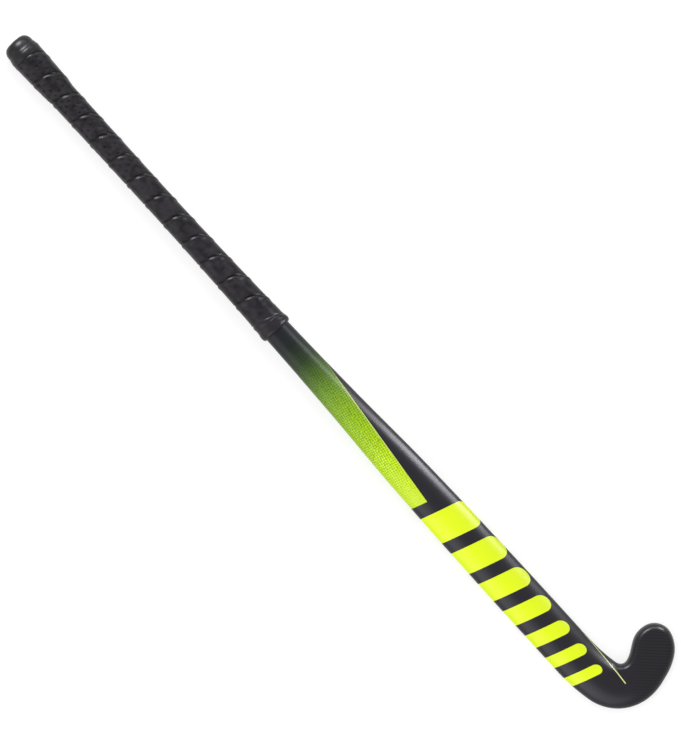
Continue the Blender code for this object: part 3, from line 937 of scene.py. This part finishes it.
def new_finish(name, roughness=0.5, mirroring=0.5):
    """A material, its wiring and its shader, with the roughness and mirroring of all of it."""
    finish = bpy.data.materials.new(name)
    finish.use_nodes = True
    shader = finish.node_tree.nodes["Principled BSDF"]
    shader.inputs["Roughness"].default_value = roughness
    shader.inputs["Specular IOR Level"].default_value = mirroring
    return finish, Wiring(finish.node_tree), shader


def straight_place(wire):
    """Place on the straight stick, read from the object's own coordinates."""
    place = wire.add("ShaderNodeTexCoord").outputs["Object"]
    return wire.add("ShaderNodeMapping", {"Vector": place, "Location": tuple(-SHIFT)}).outputs[0]


def weave_tows(wire, skin):
    """Twill weave, two over and two under: where the tows along the stick lie on top, and the
    height of the tows."""
    parts = wire.parts(skin)
    columns = wire.math("DIVIDE", parts["X"], TOW_WIDTH)
    rows = wire.math("DIVIDE", parts["Y"], TOW_WIDTH)
    steps = wire.math("SUBTRACT", wire.math("FLOOR", columns), wire.math("FLOOR", rows))
    phase = wire.math("FLOORED_MODULO", steps, TWILL_REPEAT)
    warp_on_top = wire.math("LESS_THAN", phase, TWILL_REPEAT / 2.0 - 0.5)
    ridge = []
    for tows in (columns, rows):
        ridge.append(wire.math("ABSOLUTE", wire.math("SINE", wire.math("MULTIPLY", tows, math.pi))))
    kept = wire.math("MULTIPLY", warp_on_top, ridge[0])
    crossing = wire.math("MULTIPLY", wire.math("SUBTRACT", 1.0, warp_on_top), ridge[1])
    return warp_on_top, wire.math("ADD", kept, crossing)


def fading_band(wire, x, skin):
    """Colour of the band, from black by the grip through green to yellow, under a fine mesh."""
    fade = wire.add("ShaderNodeValToRGB", {0: wire.math("DIVIDE", x, STICK_LENGTH)})
    stops = fade.color_ramp.elements
    while len(stops) < len(FADE_STOPS):
        stops.new(0.5)
    for stop, (at, colour) in zip(stops, FADE_STOPS):
        stop.position = at / STICK_LENGTH
        stop.color = rgba(colour)

    # Crossed waves, which stray a little and fade towards the bars
    feeds = {"Vector": skin, "Scale": 1.0 / MESH_CELL, "Detail": MESH_STRAY_DETAIL}
    stray = wire.add("ShaderNodeTexNoise", feeds).outputs["Color"]
    stray = wire.add("ShaderNodeVectorMath", {0: stray, "Scale": MESH_STRAY}, operation="SCALE").outputs[0]
    skin = wire.add("ShaderNodeVectorMath", {0: skin, 1: stray}, operation="ADD").outputs[0]
    waves = []
    for turn in MESH_TURNS:
        feeds = {"Vector": skin, "Rotation": (0.0, 0.0, math.radians(turn))}
        part = wire.parts(wire.add("ShaderNodeMapping", feeds).outputs[0])["X"]
        waves.append(wire.math("SINE", wire.math("MULTIPLY", part, 2.0 * math.pi / MESH_CELL)))
    strength = wire.blend(wire.noise(skin, MESH_PATCHES / MESH_CELL, 1.0), *MESH_STRENGTH)
    dots = wire.math("MULTIPLY", wire.math("ADD", *waves), strength)
    faded = wire.blend(wire.ramp(x, *MESH_FADE), 1.0, MESH_FADED)
    dots = wire.math("MULTIPLY_ADD", dots, faded, 0.5, clamp=True)
    printed = wire.shade(dots, MESH_DARK, MESH_PALE)
    feeds = {"Factor": 1.0, 6: fade.outputs[0], 7: printed}
    return wire.add("ShaderNodeMix", feeds, data_type="RGBA", blend_type="MULTIPLY").outputs[2]


def line_through(wire, x, start, end):
    """y of a straight line at x, from two of its points."""
    slope = (end[1] - start[1]) / (end[0] - start[0])
    return wire.math("MULTIPLY_ADD", wire.math("SUBTRACT", x, start[0]), slope, start[1])


def slanted_bars(wire, leaning, room):
    """Bars that get narrower towards the head. Room is how far a point lies below their round tops."""
    shares = [BAR_SHRINK**k for k in range(BAR_COUNT)]
    first_width = (BARS_END - BARS_START - BAR_GAP * (BAR_COUNT - 1)) / sum(shares)
    start = BARS_START
    bars = []
    for share in shares:
        half = first_width * share / 2.0
        off = wire.math("SUBTRACT", leaning, start + half)
        short = wire.math("MAXIMUM", wire.math("SUBTRACT", half, room), 0.0)
        squares = wire.math("MULTIPLY", off, off), wire.math("MULTIPLY", short, short)
        reach = wire.math("SQRT", wire.math("ADD", *squares))
        bars.append(wire.ramp(reach, half + PRINT_EDGE, half - PRINT_EDGE))
        start += 2.0 * half + BAR_GAP
    return wire.either(*bars)


def lacquer_finish():
    """Black lacquer over twill at the head, with the fading band, slanted bars and hairlines."""
    finish, wire, shader = new_finish("painted_laminate", mirroring=PAINT_MIRRORING)
    place = straight_place(wire)
    x, y, z = wire.parts(place)
    skin = wire.add("ShaderNodeUVMap", uv_map="skin").outputs[0]
    along, round_skin, _ = wire.parts(skin)

    # Twill weave under the lacquer of the head; its tows' two colours are painted sheen and painted shade
    warp_on_top, tows = weave_tows(wire, skin)
    toeward = wire.math("MULTIPLY_ADD", y, WEAVE_SLANT, x)
    woven = wire.ramp(toeward, WEAVE_FROM, WEAVE_FROM + WEAVE_RUN)
    colour = wire.shade(woven, PAINT_BLACK, wire.shade(warp_on_top, TOW_PAINTED_SHADE, TOW_PAINTED_SHEEN))

    # Band: its edge falls from the toe side to the heel side
    above = wire.math("SUBTRACT", y, line_through(wire, x, *BAND_EDGE))
    leaning = wire.math("MULTIPLY_ADD", y, -BAR_LEAN, x)
    in_band = wire.both(
        wire.ramp(above, PRINT_EDGE, -PRINT_EDGE),
        wire.ramp(leaning, BAND_END + PRINT_EDGE, BAND_END - PRINT_EDGE),
    )
    colour = wire.shade(in_band, colour, fading_band(wire, x, skin))

    # Hairline along the band's edge
    hairline = wire.both(
        wire.inside(above, -BAND_HAIRLINE, 0.0, PRINT_EDGE),
        wire.inside(x, *HAIRLINE_REACH, HAIRLINE_FADE),
    )
    colour = wire.shade(hairline, colour, HAIRLINE_GREEN)

    # Bars, whose tops follow a line on the unrolled skin
    room = wire.math("SUBTRACT", line_through(wire, along, *BAR_TOPS), round_skin)
    colour = wire.shade(slanted_bars(wire, leaning, room), colour, BAR_YELLOW)

    # Pinstripe beside the throat, a bent line on the unrolled skin of the back
    bent = wire.either(
        line_through(wire, along, *PINSTRIPE[:2]),
        line_through(wire, along, *PINSTRIPE[1:]),
    )
    off = wire.math("ABSOLUTE", wire.math("SUBTRACT", bent, round_skin))
    pinstripe = wire.both(
        wire.ramp(off, PINSTRIPE_WIDTH / 2.0 + PRINT_EDGE, PINSTRIPE_WIDTH / 2.0 - PRINT_EDGE),
        wire.inside(along, PINSTRIPE[0][0], PINSTRIPE[-1][0], PINSTRIPE_END_FADE),
        wire.ramp(z, EDGE_HEIGHT, EDGE_HEIGHT + PINSTRIPE_SIDE_FADE),
    )
    colour = wire.shade(pinstripe, colour, PINSTRIPE_YELLOW)
    wire.feed(shader.inputs["Base Color"], colour)

    worn = wire.noise(place, PAINT_WEAR, 4.0)
    wire.feed(shader.inputs["Roughness"], wire.blend(worn, *PAINT_ROUGHNESS))
    cloth = wire.math("MULTIPLY", tows, woven)
    wire.feed(shader.inputs["Normal"], wire.bump(cloth, TOW_RELIEF))
    return finish


def grip_finish():
    """Soft black polyurethane with fine creases, and painted shade in the pits and along the seams."""
    finish, wire, shader = new_finish("grip_polyurethane", mirroring=GRIP_MIRRORING)
    place = straight_place(wire)
    pit = wire.add("ShaderNodeAttribute", attribute_name="pit").outputs["Fac"]
    across = wire.add("ShaderNodeAttribute", attribute_name="across").outputs["Fac"]
    cloudy = wire.ramp(wire.noise(place, GRIP_CLOUDS, 3.0), *GRIP_CLOUD_EDGES)
    # Painted shade in the groove at each seam, on both sides of the strip's edge
    seam = wire.either(
        wire.ramp(across, TAPE_PITCH - SEAM_SHADE, TAPE_PITCH - SEAM_DARK),
        wire.ramp(across, SEAM_SHADE_AFTER, 0.0),
    )
    # Painted shade, near black, in the pits and at the seams
    dark = wire.math("MAXIMUM", pit, seam, clamp=True)
    colour = wire.shade(dark, wire.shade(cloudy, *GRIP_SHADES), PAINTED_SHADE_BLACK)
    wire.feed(shader.inputs["Base Color"], colour)
    wire.feed(shader.inputs["Roughness"], wire.blend(cloudy, *GRIP_ROUGHNESS))
    creased = wire.bump(wire.noise(place, GRIP_CREASES, 3.0), CREASE_RELIEF)
    grain = wire.noise(place, GRIP_GRAIN)
    wire.feed(shader.inputs["Normal"], wire.bump(grain, GRAIN_RELIEF, before=creased))
    return finish


def clouded_finish(name, shades, mirroring, clouds, roughness, grain, detail, relief, strength=0.5):
    """Smooth black finish whose shade and roughness change in clouds, over a faint grain."""
    finish, wire, shader = new_finish(name, mirroring=mirroring)
    place = straight_place(wire)
    cloudy = wire.noise(place, clouds, 3.0)
    wire.feed(shader.inputs["Base Color"], wire.shade(cloudy, *shades))
    wire.feed(shader.inputs["Roughness"], wire.blend(cloudy, *roughness))
    wire.feed(shader.inputs["Normal"], wire.bump(wire.noise(place, grain, detail), relief, strength))
    return finish


def tape_finish():
    """Black vinyl tape, slightly stretched."""
    return clouded_finish(
        "vinyl_tape",
        shades=((0.0130, 0.0115, 0.0150), (0.0230, 0.0210, 0.0260)),
        mirroring=0.14,
        clouds=120.0,
        roughness=(0.25, 0.35),
        grain=260.0,
        detail=3.0,
        relief=0.00016,
    )


def cap_finish():
    """Glossy moulded rubber with a faint mould grain."""
    return clouded_finish(
        "cap_rubber",
        shades=((0.0055, 0.0048, 0.0066), (0.0105, 0.0093, 0.0120)),
        mirroring=0.20,
        clouds=90.0,
        roughness=(0.32, 0.40),
        grain=900.0,
        detail=2.0,
        relief=0.00004,
        strength=0.35,
    )


def foam_finish(name, dark, pale, cell):
    """Closed-cell foam with a cut, pitted surface."""
    finish, wire, shader = new_finish(name, FOAM_ROUGHNESS)
    place = straight_place(wire)
    cells = wire.add("ShaderNodeTexVoronoi", {"Vector": place, "Scale": 1.0 / cell}).outputs["Distance"]
    from_cells = wire.math("MULTIPLY", cells, FOAM_CELL_SHARE)
    from_clouds = wire.math("MULTIPLY", wire.noise(place, FOAM_CLOUDS, 3.0), FOAM_CLOUD_SHARE)
    share = wire.math("ADD", from_cells, from_clouds, clamp=True)
    wire.feed(shader.inputs["Base Color"], wire.shade(share, dark, pale))
    wire.feed(shader.inputs["Normal"], wire.bump(cells, cell * FOAM_CELL_DEPTH, FOAM_CELL_STRENGTH))
    return finish


def grained_finish(name, shades, roughness, stretch, scale, detail, relief):
    """Finish with a grain along the stick, whose noise is stretched that way."""
    finish, wire, shader = new_finish(name, roughness)
    feeds = {"Vector": straight_place(wire), "Scale": (stretch, 1.0, 1.0)}
    grain = wire.noise(wire.add("ShaderNodeMapping", feeds).outputs[0], scale, detail)
    wire.feed(shader.inputs["Base Color"], wire.shade(grain, *shades))
    wire.feed(shader.inputs["Normal"], wire.bump(grain, relief))
    return finish


def inner_finishes():
    """Finish of each piece inside the stick, which the model's own solids carry."""
    shaft_foam = foam_finish("shaft_foam", dark=(0.42, 0.37, 0.27), pale=(0.66, 0.62, 0.52), cell=0.0012)
    head_foam = foam_finish("head_foam", dark=(0.38, 0.34, 0.26), pale=(0.60, 0.57, 0.48), cell=0.0009)
    sealed_wood = grained_finish(
        "plug_wood",
        shades=((0.24, 0.13, 0.06), (0.56, 0.40, 0.22)),
        roughness=0.7,
        stretch=0.06,
        scale=900.0,
        detail=4.0,
        relief=0.00015,
    )
    bare_carbon = grained_finish(
        "web_laminate",
        shades=((0.012, 0.012, 0.013), (0.05, 0.05, 0.054)),
        roughness=0.55,
        stretch=0.03,
        scale=3000.0,
        detail=3.0,
        relief=0.00008,
    )
    return {
        "spar_web": bare_carbon,
        "toe_side_core": shaft_foam,
        "heel_side_core": shaft_foam,
        "head_core": head_foam,
        "handle_plug": sealed_wood,
    }


# Table, lamps and camera

WHITE = (1.0, 1.0, 1.0)
VIEW_TURN = math.radians(47.62)
VIEW_CENTRE = (0.0092, -0.0159)
VIEW_HEIGHT = 0.7607
VIEW_LEVEL = 0.020
VIEW_REACH = 100.0
LENS = 200.0
SENSOR = 36.0
# Each lamp: direction from the stick in degrees from +X and above the table, distance, place along the
# stick, width, height and brightness, where 1 would light a white card in front of it to white
LAMPS = {
    "toe_side_strip": (90.0, 19.0, 0.7, 0.205, 0.15, 0.46, 40.0),
    "neck_strip": (90.0, 30.0, 0.7, -0.01, 0.14, 0.24, 11.0),
    "heel_side_panel": (-90.0, 28.0, 1.8, 0.0, 2.4, 1.6, 1.2),
    "butt_end_panel": (164.0, 32.0, 1.9, 0.0, 0.9, 0.9, 31.0),
    "toe_corner_panel": (140.0, 18.0, 1.8, 0.35, 0.8, 0.4, 6.5),
    "heel_sheen_panel": (-90.0, 42.0, 1.8, 1.30, 2.0, 1.7, 2.1),
    "soft_key": (130.0, 50.0, 1.8, 0.0, 1.2, 1.2, 2.8),
}
# Lamps that show in gloss alone, with their tint, and lamps that gloss doesn't show
ONLY_SHINING = ("toe_side_strip", "neck_strip", "butt_end_panel", "toe_corner_panel", "heel_sheen_panel")
SHINE_TINT = (0.93, 0.94, 1.0)
ONLY_SOFT = ("soft_key",)
SKY_LIGHT = 0.70
FLOOR_GLOW = 0.66
FLOOR_WHITE = 0.45
FLOOR_REACH = 40.0


def seen_directly(wire):
    """1 where the camera, gloss or glass sees a backdrop, and 0 where it only lights the stick."""
    path = wire.add("ShaderNodeLightPath").outputs
    return wire.either(path["Is Camera Ray"], path["Is Glossy Ray"], path["Is Transmission Ray"])


def floor():
    """White table, which keeps the stick's shadow."""
    mesh = bpy.data.meshes.new("table")
    corners = [(FLOOR_REACH * x, FLOOR_REACH * y, 0.0) for x, y in ((-1, -1), (1, -1), (1, 1), (-1, 1))]
    mesh.from_pydata(corners, [], [(0, 1, 2, 3)])
    table = bpy.data.objects.new("table", mesh)
    bpy.context.scene.collection.objects.link(table)
    finish = bpy.data.materials.new("white_table")
    finish.use_nodes = True
    wire = Wiring(finish.node_tree)
    finish.node_tree.nodes.remove(finish.node_tree.nodes["Principled BSDF"])
    strength = wire.math("MULTIPLY", seen_directly(wire), FLOOR_GLOW)
    glow = wire.add("ShaderNodeEmission", {"Color": rgba(WHITE), "Strength": strength})
    paint = wire.add("ShaderNodeBsdfDiffuse", {"Color": rgba((FLOOR_WHITE,) * 3)})
    both = wire.add("ShaderNodeAddShader", {0: paint.outputs[0], 1: glow.outputs[0]})
    wire.feed(finish.node_tree.nodes["Material Output"].inputs["Surface"], both.outputs[0])
    mesh.materials.append(finish)


def sky():
    """Even pale surroundings, white where they are seen."""
    world = bpy.data.worlds.new("studio")
    bpy.context.scene.world = world
    world.use_nodes = True
    wire = Wiring(world.node_tree)
    background = world.node_tree.nodes["Background"]
    wire.feed(background.inputs["Strength"], wire.blend(seen_directly(wire), SKY_LIGHT, 1.0))
    wire.feed(background.inputs["Color"], rgba(WHITE))


def lamps():
    """Rectangular lamps, each turned towards its place along the stick."""
    for name, (turn, tilt, distance, along, width, height, brightness) in LAMPS.items():
        light = bpy.data.lights.new(name, "AREA")
        light.shape = "RECTANGLE"
        light.size = width
        light.size_y = height
        light.energy = brightness * math.pi * width * height
        if name in ONLY_SHINING:
            light.color = SHINE_TINT
        turn = math.radians(turn)
        tilt = math.radians(tilt)
        towards = Vector((math.cos(turn) * math.cos(tilt), math.sin(turn) * math.cos(tilt), math.sin(tilt)))
        lamp = bpy.data.objects.new(name, light)
        lamp.location = towards * distance + Vector((along, 0.0, 0.0))
        lamp.rotation_euler = towards.to_track_quat("Z", "Y").to_euler()
        lamp.visible_diffuse = name not in ONLY_SHINING
        lamp.visible_glossy = name not in ONLY_SOFT
        lamp.visible_camera = False
        bpy.context.scene.collection.objects.link(lamp)


def camera():
    """Long lens, square onto the rounded back, turned as the stick lies in the picture."""
    lens = bpy.data.cameras.new("camera")
    lens.lens = LENS
    lens.sensor_width = SENSOR
    lens.clip_end = VIEW_REACH
    eye = bpy.data.objects.new("camera", lens)
    eye.location = (*VIEW_CENTRE, VIEW_LEVEL + VIEW_HEIGHT * LENS / SENSOR)
    eye.rotation_euler = (0.0, 0.0, VIEW_TURN)
    bpy.context.scene.collection.objects.link(eye)
    bpy.context.scene.camera = eye


def main():
    for node, finish in inner_finishes().items():
        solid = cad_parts[node]
        solid.data.materials.clear()
        solid.data.materials.append(finish)
    dress(painted_body(), lacquer_finish(), "painted_laminate", "stick_shell")
    dress(butt_cap(), cap_finish(), "cap", "butt_cap")
    cushion = foam_finish("sleeve_foam", dark=(0.035, 0.035, 0.036), pale=(0.075, 0.075, 0.078), cell=0.0008)
    dress(flare_sleeve(), cushion, "sleeve", "flare_sleeve")
    grip = wound_grip()
    polyurethane = grip_finish()
    press_pits(grip, polyurethane)
    dress(grip, polyurethane, "grip", "grip_tape")
    dress(finishing_tape(), tape_finish(), "finishing_tape", "finishing_tape")
    floor()
    sky()
    lamps()
    camera()
    bpy.context.scene.view_settings.view_transform = "Standard"


main()
